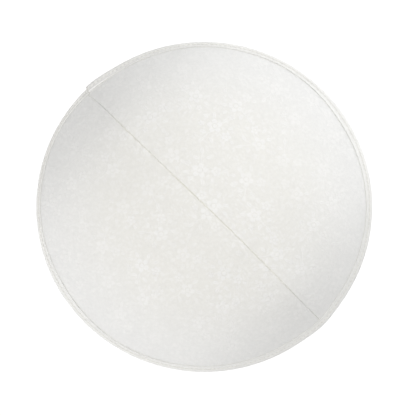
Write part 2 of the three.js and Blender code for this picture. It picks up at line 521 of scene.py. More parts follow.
@dataclass
class RimBinding:
    """The strip folded round the panels' edges, with its end lapped over its start at the seam."""

    form: CrownForm
    name: str = "rim_binding_cloth"
    node: str = "rim_binding"
    columns: int = 1340
    leg: float = 2.8 * MM
    leg_added: float = 0.34 * MM
    first_leg_turn: float = 15
    inside: float = 4.0 * MM
    outer_wall: float = 0.9 * MM
    inner_wall: float = 0.6 * MM
    tip_wall: float = 0.19 * MM
    ridge: float = 0.24 * MM
    ridge_half_width: float = 0.30 * MM
    ridge_inset: float = 0.39 * MM
    valley: float = 0.23 * MM
    valley_half_width: float = 0.30 * MM
    stitch_share: float = 0.38
    stitch_pitch: float = 2.5 * MM
    stitch_wander: float = 0.18
    stitch_beats: Tuple[Tuple[int, float], ...] = ((7, 1), (19, 0.6))
    lap_rise: float = 1.05 * MM
    lap_length: float = 22.0 * MM
    lap_turn: float = math.pi - 0.011
    lap_end: float = 0.12 * MM
    lap_columns: Tuple[float, ...] = (-0.08 * MM, 0.0, 0.12 * MM, 0.2 * MM)
    foot_slope_share: float = 0.8
    fold_steps: int = 7
    leg_shares: Tuple[float, ...] = (0, 0.1, 0.2, 0.28, 0.36, 0.44, 0.52, 0.6, 0.7, 0.8, 0.9, 1)
    tip_steps: int = 4
    inner_edge: Tuple[Pair, ...] = ((1, 0), (1 / 3, 0.5), (0, 1), (1 / 3, 1.5), (1, 2))
    merged_within: float = 0.001 * MM

    @property
    def stitches(self) -> int:
        """Number of stitches round the rim."""
        return round(2 * math.pi * self.form.mean_radius / self.stitch_pitch)

    def stitch_number(self, turn: Array) -> Array:
        """Counts the stitches up to each turn. Their pitch wanders, as the cap is fed by hand."""
        wander = sum(share * np.sin(beats * turn) for beats, share in self.stitch_beats)
        return turn * self.stitches / (2 * math.pi) + self.stitch_wander * wander

    def outer_leg(self, turn: Array) -> Array:
        """Gives the outer leg's length at each turn, from the evenly spaced shares in FOLD_LEGS."""
        legs = np.array(FOLD_LEGS)
        place = (np.degrees(turn) - self.first_leg_turn) % 360 / (360 / len(legs))
        row = np.floor(place).astype(int) % len(legs)
        share = smooth_step(place - np.floor(place))
        return self.leg * (legs[row] + share * (np.roll(legs, -1)[row] - legs[row])) + self.leg_added

    def lap(self, turn: Array) -> Array:
        """Gives how far the lapped end lifts the outside at each turn."""
        before = (self.lap_turn - turn) * self.form.mean_radius
        share = np.where(before < 0, -before / self.lap_end, before / self.lap_length)
        return self.lap_rise * (1 - smooth_step(share))

    def on_leg(self, turn: Array, length: Array, height: Array) -> Array:
        """Finds points beside the panels' edge.

        Args:
            turn: angle about z from the seam's +x end.
            length: up the cloth from the fold's middle.
            height: out of the cloth's middle surface.

        Returns:
            The points in the cap's own frame.
        """
        down = np.linalg.norm(self.form.slope(np.ones_like(turn), turn), axis=-1)
        reach = 1 - length / down
        return self.form.point(reach, turn) + self.form.normal(reach, turn) * height[:, None]

    def top_height(self, turn: Array, length: Array) -> Array:
        """Gives the height of the outer leg's outside.

        Args:
            turn: angle about z from the seam's +x end.
            length: up the leg from the fold's middle.

        Returns:
            The height over the cloth's middle surface, which thins towards a low ridge along the leg's edge
            and dips along the row of stitches.
        """
        leg = self.outer_leg(turn)
        thinning = (self.outer_wall - self.tip_wall) * smooth_step(length / leg)
        ridge = self.ridge * bell(length - (leg - self.ridge_inset), self.ridge_half_width)
        pull = 0.5 + 0.5 * np.cos(2 * math.pi * self.stitch_number(turn))
        valley = self.valley * pull * bell(length - self.stitch_share * leg, self.valley_half_width)
        return self.form.fold_radius + self.lap(turn) - thinning + ridge - valley

    def _section(self, turn: Array) -> Tuple[Array, Array]:
        """Finds the strip's section at each turn.

        Args:
            turn: angle about z from the seam's +x end.

        Returns:
            For each turn, the section's points in order: up the fold and the outer leg's outside, round its
            edge, in and out of the slot that the panels lie in, round the inner leg's edge and back to the
            foot. Then each point's distance from the nearest needle hole, where it is on the leg's outside.
        """
        none = np.zeros_like(turn)
        one = none + 1
        down = unit(self.form.slope(one, turn))
        up = self.form.normal(one, turn)
        middle = self.form.point(one, turn)
        slope = np.arctan2(-down[:, 2], up[:, 2])
        half = self.form.foot_half_angle
        foot_start = math.pi - slope - half
        foot_end = math.pi - slope + np.minimum(half, self.foot_slope_share * slope)
        radius = self.form.fold_radius
        leg = self.outer_leg(turn)
        slot_top = radius - self.outer_wall
        slot_base = self.inner_wall - radius

        def on_fold(angle: Array, size: Array) -> Array:
            """Gives points round the fold's middle, at an angle from the way out of the cloth."""
            return middle + up * (size * np.cos(angle))[:, None] + down * (size * np.sin(angle))[:, None]

        points: List[Array] = []
        from_holes: List[Array] = [none + FAR] * self.fold_steps
        to_hole = np.abs((self.stitch_number(turn) + 0.5) % 1 - 0.5) * self.stitch_pitch
        for step in range(self.fold_steps):
            angle = foot_start * (1 - step / self.fold_steps)
            points.append(on_fold(angle, radius + self.lap(turn)))
        points[0][:, 2] = 0
        tip = self.tip_wall
        for share in self.leg_shares:
            length = share * (leg - tip)
            points.append(self.on_leg(turn, length, self.top_height(turn, length)))
            from_holes.append(np.hypot(length - self.stitch_share * leg, to_hole))
        top_at_tip = self.top_height(turn, leg - tip)
        tip_middle = (top_at_tip + slot_top) / 2
        for step in range(1, self.tip_steps):
            angle = math.pi * step / self.tip_steps
            height = tip_middle + (top_at_tip - slot_top) / 2 * math.cos(angle)
            points.append(self.on_leg(turn, leg - tip + tip * math.sin(angle), height))
        edge = self.inner_wall / 2
        corners = [
            (leg - tip, slot_top),
            (tip, slot_top),
            (-slot_top / 2, slot_top / 2),
            (-slot_top / 2, slot_base / 2),
            (tip, slot_base),
            *((self.inside - back * edge, slot_base - drop * edge) for back, drop in self.inner_edge),
            (self.inside / 2, -radius),
        ]
        for length, height in corners:
            points.append(self.on_leg(turn, none + length, none + height))
        points.append(on_fold(none + math.pi, none + radius))
        foot = on_fold(foot_end, none + radius)
        foot[:, 2] = 0
        points.append(foot)
        section = np.stack(points, axis=1)
        section[..., 2] = np.maximum(section[..., 2], 0)
        from_holes += [none + FAR] * (len(points) - len(from_holes))
        return section, np.stack(from_holes, axis=1)

    def build(self) -> Piece:
        """Models the binding.

        Returns:
            The finished piece.
        """
        turns = 2 * math.pi * np.arange(self.columns) / self.columns
        lap_start = round(self.lap_turn / (2 * math.pi) * self.columns) - 1
        gathered = np.array(self.lap_columns) / self.form.mean_radius
        turns[lap_start:lap_start + len(gathered)] = self.lap_turn + gathered
        section, from_holes = self._section(turns)
        corners = section.shape[1]
        bpy.ops.object.select_all(action="DESELECT")
        bpy.ops.mesh.primitive_grid_add(x_subdivisions=self.columns, y_subdivisions=corners, size=2)
        piece = active_piece(self.name)
        sheet = (mesh_points(piece.data) + 1) / 2
        column = np.rint(sheet[:, 0] * self.columns).astype(int)
        corner = np.rint(sheet[:, 1] * corners).astype(int)
        at = (column % self.columns, corner % corners)
        move_points(piece.data, self.form.placed(section[at]))
        steps = np.linalg.norm(np.roll(section, -1, axis=1) - section, axis=-1).mean(axis=0)
        width = np.concatenate([[0], np.cumsum(steps)])[corner]
        girth = 2 * math.pi * self.form.mean_radius
        add_map(piece.data, CLOTH_MAP, np.stack([girth * column / self.columns, width], axis=1))
        # The distances from the needle holes and from the lapped end place the binding's painted shade: dark
        # dots at the holes and a dark band at the lapped end's step.
        from_lap = turn_between(turns, self.lap_turn)[at[0]] * self.form.mean_radius
        add_map(piece.data, SHADE_LINE_MAP, np.stack([from_holes[at], from_lap], axis=1))
        bpy.ops.object.mode_set(mode="EDIT")
        bpy.ops.mesh.select_all(action="SELECT")
        bpy.ops.mesh.remove_doubles(threshold=self.merged_within)
        bpy.ops.object.mode_set(mode="OBJECT")
        bpy.ops.object.shade_smooth()
        return piece

    def dress(self, piece: Piece, cloth: Finish) -> None:
        """Gives the binding its cloth and hands it to the frame."""
        piece.data.materials.append(cloth)
        finish_piece(piece, "binding_cloth", self.node)


@dataclass
class RimStitches:
    """The row of machine stitches that holds the binding, on its outside and its inside."""

    binding: RimBinding
    name: str = "rim_stitches"
    length: float = 1.8 * MM
    thread: float = 0.32 * MM
    sides: int = 6
    slant: float = math.radians(14)
    sunk: float = 0.40
    inside_share: float = 0.62
    steps_per_stitch: int = 20
    cuts: int = 5
    end_thinning: float = 0.35
    end_thinning_power: int = 6
    end_drop: float = 1.3
    end_drop_power: int = 4

    def _one(self) -> bpy.types.Mesh:
        """Models one stitch along x: a short arch of thread whose ends go down into the cloth.

        Returns:
            The stitch's mesh.
        """
        bpy.ops.object.select_all(action="DESELECT")
        bpy.ops.mesh.primitive_cylinder_add(
            vertices=self.sides, radius=self.thread / 2, depth=self.length, rotation=(0, math.pi / 2, 0)
        )
        stitch = active_piece("stitch")
        bpy.ops.object.transform_apply(location=True, rotation=True, scale=True)
        bpy.ops.object.mode_set(mode="EDIT")
        bpy.ops.mesh.select_mode(type="EDGE")
        bpy.ops.mesh.select_all(action="DESELECT")
        bpy.ops.object.mode_set(mode="OBJECT")
        for edge in stitch.data.edges:
            ends = [stitch.data.vertices[i].co.x for i in edge.vertices]
            edge.select = abs(ends[0] - ends[1]) > self.length / 2
        bpy.ops.object.mode_set(mode="EDIT")
        bpy.ops.mesh.subdivide(number_cuts=self.cuts)
        bpy.ops.object.mode_set(mode="OBJECT")
        points = mesh_points(stitch.data)
        share = 2 * points[:, 0] / self.length
        points[:, 1:] *= (1 - self.end_thinning * share**self.end_thinning_power)[:, None]
        points[:, 2] -= self.end_drop * self.thread * share**self.end_drop_power
        move_points(stitch.data, points)
        bpy.ops.object.shade_smooth()
        mesh = stitch.data
        bpy.data.objects.remove(stitch)
        return mesh

    def _frames(self, outer: bool) -> List[Matrix]:
        """Finds where the stitches lie.

        Args:
            outer: whether they are on the binding's outside.

        Returns:
            One placing for each stitch, in the cap's own frame.
        """
        binding = self.binding
        form = binding.form
        count = binding.stitches
        whole = np.linspace(0, 2 * math.pi, self.steps_per_stitch * count)
        turn = np.interp(np.arange(count) + 0.5, binding.stitch_number(whole), whole)
        if outer:
            length = binding.stitch_share * binding.outer_leg(turn)
            height = binding.top_height(turn, length) + (0.5 - self.sunk) * self.thread
        else:
            length = np.full(count, self.inside_share * binding.inside)
            height = np.full(count, -form.fold_radius - (0.5 - self.sunk) * self.thread)
        spot = binding.on_leg(turn, length, height)
        ahead = binding.on_leg(turn + form.slope_step, length, height)
        along = unit(ahead - binding.on_leg(turn - form.slope_step, length, height))
        reach = 1 - length / np.linalg.norm(form.slope(np.ones_like(turn), turn), axis=-1)
        out = form.normal(reach, turn) * (1 if outer else -1)
        side = np.cross(out, along)
        placings = []
        for index in range(count):
            axes = Matrix(np.stack([along[index], side[index], out[index]], axis=1).tolist()).to_4x4()
            turned = Matrix.Rotation(self.slant, 4, "Z")
            placings.append(Matrix.Translation(Vector(spot[index].tolist())) @ axes @ turned)
        return placings

    def build(self) -> Piece:
        """Copies the stitch round the rim and joins the copies.

        Returns:
            The finished piece.
        """
        one = self._one()
        heading = Matrix.Rotation(self.binding.form.heading, 4, "Z")
        bpy.ops.object.select_all(action="DESELECT")
        for placing in self._frames(True) + self._frames(False):
            mesh = one.copy()
            mesh.transform(heading @ placing)
            copy = bpy.data.objects.new(self.name, mesh)
            bpy.context.collection.objects.link(copy)
            copy.select_set(True)
            bpy.context.view_layer.objects.active = copy
        bpy.ops.object.join()
        bpy.data.meshes.remove(one)
        return active_piece(self.name)

    def dress(self, piece: Piece, thread: Finish) -> None:
        """Gives the stitches their thread and hands them to the frame."""
        piece.data.materials.append(thread)
        finish_piece(piece, "binding_cloth")


class Nodes:
    """Adds shader nodes to one tree and links them."""

    def __init__(self, tree: Tree) -> None:
        """Takes the tree that the nodes go into."""
        self.tree = tree

    def add(self, kind: str, **settings: object) -> Node:
        """Adds a node.

        Args:
            kind: its type, without the leading ShaderNode.
            settings: its properties.

        Returns:
            The node.
        """
        node = self.tree.nodes.new("ShaderNode" + kind)
        for name, value in settings.items():
            setattr(node, name, value)
        return node

    def put(self, value: Value, socket: Socket) -> None:
        """Links a socket into another, or sets its value."""
        if isinstance(value, Socket):
            self.tree.links.new(value, socket)
        else:
            socket.default_value = value

    def feed(self, node: Node, **values: Value) -> None:
        """Fills a node's inputs, whose names have an underscore for each space."""
        for name, value in values.items():
            self.put(value, node.inputs[name.replace("_", " ")])

    def math(self, operation: str, *values: Value) -> Socket:
        """Adds a Math node and gives its result."""
        node = self.add("Math", operation=operation)
        for value, socket in zip(values, node.inputs):
            self.put(value, socket)
        return node.outputs[0]

    def vector(self, operation: str, *values: Value) -> Socket:
        """Adds a Vector Math node and gives its result, a number for LENGTH and DOT_PRODUCT."""
        node = self.add("VectorMath", operation=operation)
        for value, socket in zip(values, node.inputs):
            self.put(value, socket)
        return node.outputs["Value" if operation in ("LENGTH", "DOT_PRODUCT") else "Vector"]

    def step(self, value: Value, low: Value, high: Value) -> Socket:
        """Adds a smooth step from 0 at low to 1 at high and gives its result."""
        node = self.add("MapRange", interpolation_type="SMOOTHSTEP")
        self.feed(node, Value=value, From_Min=low, From_Max=high)
        return node.outputs["Result"]

    def blend(self, share: Value, a: Value, b: Value, kind: str = "FLOAT") -> Socket:
        """Adds a Mix node and gives its result.

        Args:
            share: how much of b.
            a: the first value.
            b: the second value.
            kind: FLOAT, VECTOR or RGBA.

        Returns:
            The mix.
        """
        node = self.add("Mix", data_type=kind)
        for value, name in ((share, "Factor"), (a, "A"), (b, "B")):
            sockets = [s for s in node.inputs if s.name == name and s.enabled]
            self.put(value, sockets[0])
        return [s for s in node.outputs if s.enabled][0]

    def parts(self, vector: Value) -> Sequence[Socket]:
        """Splits a vector and gives its x, y and z."""
        node = self.add("SeparateXYZ")
        self.put(vector, node.inputs[0])
        return node.outputs

    def turned_back(self, place: Value, turn: Value) -> Socket:
        """Turns a place about z against a turn in radians."""
        node = self.add("VectorRotate", rotation_type="Z_AXIS", invert=True)
        self.feed(node, Vector=place, Angle=turn)
        return node.outputs[0]

    def noise(self, vector: Value, scale: float, detail: float) -> Socket:
        """Adds a Noise Texture and gives its value."""
        node = self.add("TexNoise")
        self.feed(node, Vector=vector, Scale=scale, Detail=detail)
        return node.outputs["Fac"]

    def group(self, tree: Tree, **values: Value) -> Node:
        """Places a node group and fills its inputs."""
        node = self.add("Group", node_tree=tree)
        self.feed(node, **values)
        return node


class ShaderGroup(Nodes):
    """A new shader node group whose outputs are all numbers."""

    def __init__(self, name: str, vectors: Labels, values: Labels, results: Labels) -> None:
        """Makes the group.

        Args:
            name: the group's name.
            vectors: its inputs that take places.
            values: its inputs that take numbers.
            results: its outputs.
        """
        super().__init__(bpy.data.node_groups.new(name, "ShaderNodeTree"))
        vector, number = "NodeSocketVector", "NodeSocketFloat"
        inputs = ((vectors, "INPUT", vector), (values, "INPUT", number))
        for labels, way, kind in (*inputs, (results, "OUTPUT", number)):
            for label in labels:
                self.tree.interface.new_socket(name=label, in_out=way, socket_type=kind)
        self.given = self.tree.nodes.new("NodeGroupInput").outputs
        self.result = self.tree.nodes.new("NodeGroupOutput").inputs

    def finished(self, **results: Value) -> Tree:
        """Links each result to the group's output of that name.

        Args:
            results: the results, by name.

        Returns:
            The group's tree.
        """
        for name, value in results.items():
            self.put(value, self.result[name])
        return self.tree


SATIN_THREADS = 5
SATIN_STEP = 2
SLUB_STRETCHES = ((1, 0.12, 1), (0.12, 1, 1))
SLUB_NOISE = (1.6, 2)
BROAD_NOISE = (28, 2)
FINE_NOISE = (600, 3)


def weave_group() -> Tree:
    """Makes a satin weave of five: each crosswise thread passes over the fifth lengthwise one in turn.

    Returns:
        A group that takes a place in mm, the threads' pitch in mm and how far the figure's threads lie
        crosswise, and gives the threads' height and tone, from 0 to 1.
    """
    group = ShaderGroup("satin weave", ("Place",), ("Pitch", "Crosswise"), ("Height", "Tone"))
    place = group.given["Place"]
    pitches = group.add("CombineXYZ")
    for socket in pitches.inputs:
        group.put(group.given["Pitch"], socket)
    at = group.vector("DIVIDE", place, pitches.outputs[0])
    inside = group.parts(group.vector("FRACTION", at))
    count = group.parts(group.vector("FLOOR", at))
    stepped = group.math("MULTIPLY_ADD", count[0], SATIN_STEP, count[1])
    crossing = group.math("LESS_THAN", group.math("FLOORED_MODULO", stepped, SATIN_THREADS), 0.5)
    lengthwise = group.math("SINE", group.math("MULTIPLY", inside[0], math.pi))
    crosswise = group.math("SINE", group.math("MULTIPLY", inside[1], math.pi))
    ground = group.blend(crossing, lengthwise, crosswise)
    figure = group.blend(crossing, crosswise, lengthwise)
    slubs = [group.noise(group.vector("MULTIPLY", place, stretch), *SLUB_NOISE) for stretch in SLUB_STRETCHES]
    return group.finished(
        Height=group.blend(group.given["Crosswise"], ground, figure),
        Tone=group.math("MULTIPLY", group.math("ADD", *slubs), 0.5),
    )


def tone_group() -> Tree:
    """Makes the slow unevenness of washed and pressed cloth.

    Returns:
        A group that takes a place in metres and gives a broad and a fine tone, from 0 to 1.
    """
    group = ShaderGroup("cloth tone", ("Place",), (), ("Broad", "Fine"))
    place = group.given["Place"]
    return group.finished(Broad=group.noise(place, *BROAD_NOISE), Fine=group.noise(place, *FINE_NOISE))


class MotifShape(Enum):
    """What a motif of the figured cloth shows."""

    BLOSSOM = "blossom"
    LEAF = "leaf"


@dataclass(frozen=True)
class Motif:
    """One flower, leaf or stem of the sprig, in mm and degrees. A stem is a long thin leaf."""

    shape: MotifShape
    x: float
    y: float
    turn: float
    length: float
    width: float = 0
    bend: float = 0


@dataclass(frozen=True)
class SprigPlace:
    """Where the sprig stands in the repeat, in mm and degrees, and whether it is mirrored."""

    x: float
    y: float
    turn: float
    mirrored: bool = False


BLOSSOM = MotifShape.BLOSSOM
LEAF = MotifShape.LEAF

SPRIG: Tuple[Motif, ...] = (
    Motif(BLOSSOM, x=0.4, y=1.6, turn=10, length=4.2),
    Motif(BLOSSOM, x=-6.2, y=-3.6, turn=40, length=2.8),
    Motif(BLOSSOM, x=7.6, y=2.4, turn=70, length=1.7),
    Motif(LEAF, x=3.4, y=-4.4, turn=-52, length=7.6, width=0.7, bend=0.9),
    Motif(LEAF, x=-3.4, y=-2.6, turn=38, length=5.0, width=0.6, bend=-0.6),
    Motif(LEAF, x=6.4, y=-2.6, turn=18, length=4.4, width=2.1, bend=0.3),
    Motif(LEAF, x=1.6, y=-7.0, turn=-118, length=4.2, width=2.0, bend=-0.3),
    Motif(LEAF, x=6.6, y=-7.4, turn=-48, length=4.6, width=2.1, bend=0.2),
    Motif(LEAF, x=-4.6, y=5.6, turn=128, length=4.4, width=2.1, bend=0.3),
    Motif(LEAF, x=1.0, y=8.0, turn=82, length=4.2, width=2.0, bend=-0.2),
    Motif(LEAF, x=5.8, y=6.6, turn=40, length=4.0, width=1.9, bend=0.3),
    Motif(LEAF, x=-8.0, y=1.0, turn=160, length=3.8, width=1.8, bend=-0.2),
    Motif(LEAF, x=-9.6, y=-6.4, turn=215, length=3.6, width=1.7, bend=0.2),
    Motif(LEAF, x=-4.6, y=-8.0, turn=262, length=3.6, width=1.7, bend=-0.2),
)

REPEAT = (62.0, 46.0)

SPRIG_PLACES: Tuple[SprigPlace, ...] = (
    SprigPlace(x=4.0, y=5.0, turn=0),
    SprigPlace(x=25.0, y=14.0, turn=75, mirrored=True),
    SprigPlace(x=46.0, y=4.0, turn=-140),
    SprigPlace(x=13.0, y=29.0, turn=160, mirrored=True),
    SprigPlace(x=35.0, y=35.0, turn=-35),
    SprigPlace(x=56.0, y=27.0, turn=110, mirrored=True),
)


LEAF_EDGE = (-0.1, 0.3)
VEIN_SIDES = (0.34, 0.1)
VEINED_WIDTHS = (1.0, 1.5)
VEIN_DEPTH = 0.6
PETALS = 5
PETAL_FOOT = 0.42
PETAL_ROUNDNESS = 0.6
PETAL_EDGE = (-0.03, 0.09)
HEART_RADIUS = 0.33
HEART_GAP = (0.03, 0.10)
BEYOND_REPEAT = 1e3


def leaf_group() -> Tree:
    """Makes one leaf or stem of the figured cloth.

    Returns:
        A group that takes a place, a centre and sizes in mm and a turn in radians, and gives 1 inside it.
    """
    group = ShaderGroup("woven leaf", ("Place", "Centre"), ("Turn", "Length", "Width", "Bend"), ("Mask",))
    given = group.given
    away = group.vector("SUBTRACT", given["Place"], given["Centre"])
    at = group.parts(group.turned_back(away, given["Turn"]))
    along = group.math("DIVIDE", at[0], group.math("MULTIPLY", given["Length"], 0.5))
    taper = group.math("SUBTRACT", 1, group.math("MULTIPLY", along, along))
    bend = group.math("MULTIPLY", taper, given["Bend"])
    side = group.math("ABSOLUTE", group.math("SUBTRACT", at[1], bend))
    half = group.math("MULTIPLY", group.math("MULTIPLY", given["Width"], 0.5), taper)
    within = group.step(group.math("SUBTRACT", half, side), *LEAF_EDGE)
    vein = group.math("MULTIPLY", group.step(side, *VEIN_SIDES), group.step(given["Width"], *VEINED_WIDTHS))
    beside_vein = group.math("SUBTRACT", 1, group.math("MULTIPLY", vein, VEIN_DEPTH))
    return group.finished(Mask=group.math("MULTIPLY", within, beside_vein))


def blossom_group() -> Tree:
    """Makes one five-petalled flower of the figured cloth.

    Returns:
        A group that takes a place, a centre and a radius in mm and a turn in radians, and gives 1 on the
        petals and the heart, with a dark ring between them.
    """
    group = ShaderGroup("woven flower", ("Place", "Centre"), ("Turn", "Length"), ("Mask",))
    given = group.given
    away = group.vector("SUBTRACT", given["Place"], given["Centre"])
    at = group.parts(away)
    radius = group.math("DIVIDE", group.vector("LENGTH", away), given["Length"])
    angle = group.math("SUBTRACT", group.math("ARCTAN2", at[1], at[0]), given["Turn"])
    lobe = group.math("ABSOLUTE", group.math("COSINE", group.math("MULTIPLY", angle, PETALS / 2)))
    edge = group.math("MULTIPLY_ADD", group.math("POWER", lobe, PETAL_ROUNDNESS), 1 - PETAL_FOOT, PETAL_FOOT)
    petals = group.step(group.math("SUBTRACT", edge, radius), *PETAL_EDGE)
    off_ring = group.math("ABSOLUTE", group.math("SUBTRACT", radius, HEART_RADIUS))
    return group.finished(Mask=group.math("MULTIPLY", petals, group.step(off_ring, *HEART_GAP)))


def sprig_group() -> Tree:
    """Makes the whole sprig from its chart.

    Returns:
        A group that takes a place in mm from the sprig's middle and gives 1 on its flowers, leaves and stems.
    """
    group = ShaderGroup("woven sprig", ("Place",), (), ("Mask",))
    shapes = {LEAF: leaf_group(), BLOSSOM: blossom_group()}
    total: Value = 0.0
    for motif in SPRIG:
        values = {"Centre": (motif.x, motif.y, 0), "Turn": math.radians(motif.turn), "Length": motif.length}
        if motif.shape is LEAF:
            values.update(Width=motif.width, Bend=motif.bend)
        node = group.group(shapes[motif.shape], Place=group.given["Place"], **values)
        total = group.math("MAXIMUM", total, node.outputs["Mask"])
    return group.finished(Mask=total)


def figure_group() -> Tree:
    """Makes the figure of the cloth: the sprig, turned and mirrored, at its places in the repeat.

    Returns:
        A group that takes a place on the cloth in mm and gives 1 on the figure and 0 on the ground.
    """
    group = ShaderGroup("woven figure", ("Place",), (), ("Mask",))
    half = (REPEAT[0] / 2, REPEAT[1] / 2, 1)
    nearest: Value = (0.0, 0.0, 0.0)
    least: Value = BEYOND_REPEAT
    for place in SPRIG_PLACES:
        away = group.vector("SUBTRACT", group.given["Place"], (place.x, place.y, 0))
        wrapped = group.vector("WRAP", away, half, tuple(-side for side in half))
        local = group.turned_back(wrapped, math.radians(place.turn))
        if place.mirrored:
            local = group.vector("MULTIPLY", local, (-1, 1, 1))
        distance = group.vector("LENGTH", wrapped)
        nearest = group.blend(group.math("LESS_THAN", distance, least), nearest, local, "VECTOR")
        least = group.math("MINIMUM", distance, least)
    return group.finished(Mask=group.group(sprig_group(), Place=nearest).outputs["Mask"])


@dataclass(frozen=True)
class Leaflets:
    """One drift of small leaflets: their turn in radians and how far their spots are stretched."""

    turn: float
    stretch: Triple


LEAFLETS = (Leaflets(turn=0.6, stretch=(0.34, 0.62, 1)), Leaflets(turn=-0.9, stretch=(0.30, 0.56, 1)))
LEAFLET_EDGE = (0.40, 0.24)
DRIFT_NOISE = (0.10, 1)
DRIFT_CHANGE = (0.46, 0.54)
BARE_HALF_WIDTH = 0.07


def filler_group() -> Tree:
    """Makes the small leaflets that fill the ground between the sprigs.

    Returns:
        A group that takes a place on the cloth in mm and gives 1 on the leaflets.
    """
    group = ShaderGroup("woven leaflets", ("Place",), (), ("Mask",))
    place = group.given["Place"]
    masks = []
    for leaflets in LEAFLETS:
        turned = group.add("Mapping", vector_type="TEXTURE")
        group.feed(turned, Vector=place, Rotation=(0, 0, leaflets.turn))
        spots = group.add("TexVoronoi", voronoi_dimensions="2D")
        group.feed(spots, Vector=group.vector("MULTIPLY", turned.outputs[0], leaflets.stretch), Scale=1)
        masks.append(group.step(spots.outputs["Distance"], *LEAFLET_EDGE))
    drift = group.noise(place, *DRIFT_NOISE)
    both = group.blend(group.step(drift, *DRIFT_CHANGE), *masks)
    between = group.math("ABSOLUTE", group.math("SUBTRACT", drift, 0.5))
    return group.finished(Mask=group.math("MULTIPLY", both, group.step(between, 0, BARE_HALF_WIDTH)))


def new_material(name: str) -> Tuple[Finish, Nodes, Node]:
    """Makes a material with a Principled shader.

    Args:
        name: the material's name.

    Returns:
        The material, its nodes and the shader.
    """
    material = bpy.data.materials.new(name)
    material.use_nodes = True
    nodes = Nodes(material.node_tree)
    return material, nodes, material.node_tree.nodes["Principled BSDF"]


@dataclass(frozen=True)
class WovenCloth:
    """A woven white cloth, with or without a figure."""

    name: str
    ground: Colour
    figure: Colour
    rim: Colour
    ground_roughness: float
    figure_roughness: float
    pitch: float
    weave_depth: float
    figure_depth: float
    sheen: float
    sheen_roughness: float
    grain_turn: float = 0
    figured: bool = True
    tone_depth: float = 0.03
    fine_depth: float = 0.11
    warm_radius: float = 0.040
    rim_radius: float = 0.088
    filler: float = 0.5
    faded: float = 0.55
    rim_fade: float = 0.35
    figure_patches: Pair = (0.3, 0.65)
    specular: float = 0.35
    # The next fields darken the cloth towards both ends of the seam, measured along seam_way, where the crown
    # falls most steeply: painted shade.
    seam_way: Triple = (0.712, -0.702, 0)
    painted_end_shade_from: float = 0.045
    painted_end_shade_to: float = 0.080
    painted_end_shade: float = 0.065
    # The next four fields paint shade: a dark yellowish line in the seam's groove and along the binding's
    # inner edge, and at the needle holes and the lapped end's step on the binding, broken up in patches.
    painted_shade_line: Colour = (0.73, 0.70, 0.49, 1)
    painted_shade_strengths: Pair = (0.9, 0.14)
    painted_shade_half_widths: Pair = (0.50, 0.40)
    painted_shade_patches: Pair = (0.0, 0.7)

    def material(self, groups: Dict[str, Tree]) -> Finish:
        """Makes the cloth's material.

        Args:
            groups: the shader groups, by name.

        Returns:
            The material.
        """
        material, nodes, shader = new_material(self.name)
        cloth = nodes.add("UVMap", uv_map=CLOTH_MAP).outputs[0]
        to_shade_lines = nodes.parts(nodes.add("UVMap", uv_map=SHADE_LINE_MAP).outputs[0])
        space = nodes.add("TexCoord").outputs["Object"]
        tone = nodes.group(groups["tone"], Place=space)
        mask: Value = 0.0
        if self.figured:
            mask = nodes.group(groups["figure"], Place=cloth).outputs["Mask"]
            filler = nodes.group(groups["filler"], Place=cloth).outputs["Mask"]
            mask = nodes.math("MAXIMUM", mask, nodes.math("MULTIPLY", filler, self.filler))
            kept = nodes.step(tone.outputs["Broad"], *self.figure_patches)
            mask = nodes.math("MULTIPLY", mask, nodes.math("MULTIPLY_ADD", kept, self.faded, 1 - self.faded))
        turned = nodes.add("Mapping")
        nodes.feed(turned, Vector=cloth, Rotation=(0, 0, self.grain_turn))
        weave = nodes.group(groups["weave"], Place=turned.outputs[0], Pitch=self.pitch, Crosswise=mask)

        level = nodes.vector("MULTIPLY", space, (1, 1, 0))
        out = nodes.step(nodes.vector("LENGTH", level), self.warm_radius, self.rim_radius)
        ground = nodes.blend(out, self.ground, self.rim, "RGBA")
        shown = nodes.math("MULTIPLY", mask, nodes.math("MULTIPLY_ADD", out, -self.rim_fade, 1))
        colour = nodes.blend(shown, ground, self.figure, "RGBA")
        # Painted shade: the dark yellowish line is painted near the seam, the binding's edge, the needle
        # holes and the lapped end.
        painted_shade_line: Value = 0.0
        for distance, half_width, strength in zip(to_shade_lines, self.painted_shade_half_widths, self.painted_shade_strengths):
            near = nodes.step(nodes.math("ABSOLUTE", distance), half_width, 0)
            painted_shade_line = nodes.math("MAXIMUM", painted_shade_line, nodes.math("MULTIPLY", near, strength))
        painted_shade_line = nodes.math("MULTIPLY", painted_shade_line, nodes.step(tone.outputs["Broad"], *self.painted_shade_patches))
        colour = nodes.blend(painted_shade_line, colour, self.painted_shade_line, "RGBA")
        # Painted shade: the colour is darkened towards both ends of the seam, where the crown falls most
        # steeply. The same factor also carries the cloth's random tone.
        along = nodes.math("ABSOLUTE", nodes.vector("DOT_PRODUCT", space, self.seam_way))
        painted_end_shade = nodes.step(along, self.painted_end_shade_from, self.painted_end_shade_to)
        broad = nodes.math("ADD", weave.outputs["Tone"], tone.outputs["Broad"])
        tone_and_painted_shade = nodes.math("MULTIPLY_ADD", broad, self.tone_depth, 1 - self.tone_depth - self.fine_depth / 2)
        tone_and_painted_shade = nodes.math("MULTIPLY_ADD", painted_end_shade, -self.painted_end_shade, tone_and_painted_shade)
        tone_and_painted_shade = nodes.math("MULTIPLY_ADD", tone.outputs["Fine"], self.fine_depth, tone_and_painted_shade)
        shaded = nodes.add("VectorMath", operation="SCALE")
        nodes.put(colour, shaded.inputs[0])
        nodes.put(tone_and_painted_shade, shaded.inputs["Scale"])

        height = nodes.math("MULTIPLY", weave.outputs["Height"], self.weave_depth)
        height = nodes.math("ADD", height, nodes.math("MULTIPLY", mask, self.figure_depth))
        bump = nodes.add("Bump")
        nodes.feed(bump, Distance=MM, Height=height)
        nodes.feed(
            shader,
            Base_Color=shaded.outputs[0],
            Roughness=nodes.blend(mask, self.ground_roughness, self.figure_roughness),
            Normal=bump.outputs[0],
            Sheen_Weight=self.sheen,
            Sheen_Roughness=self.sheen_roughness,
            Specular_IOR_Level=self.specular,
        )
        return material


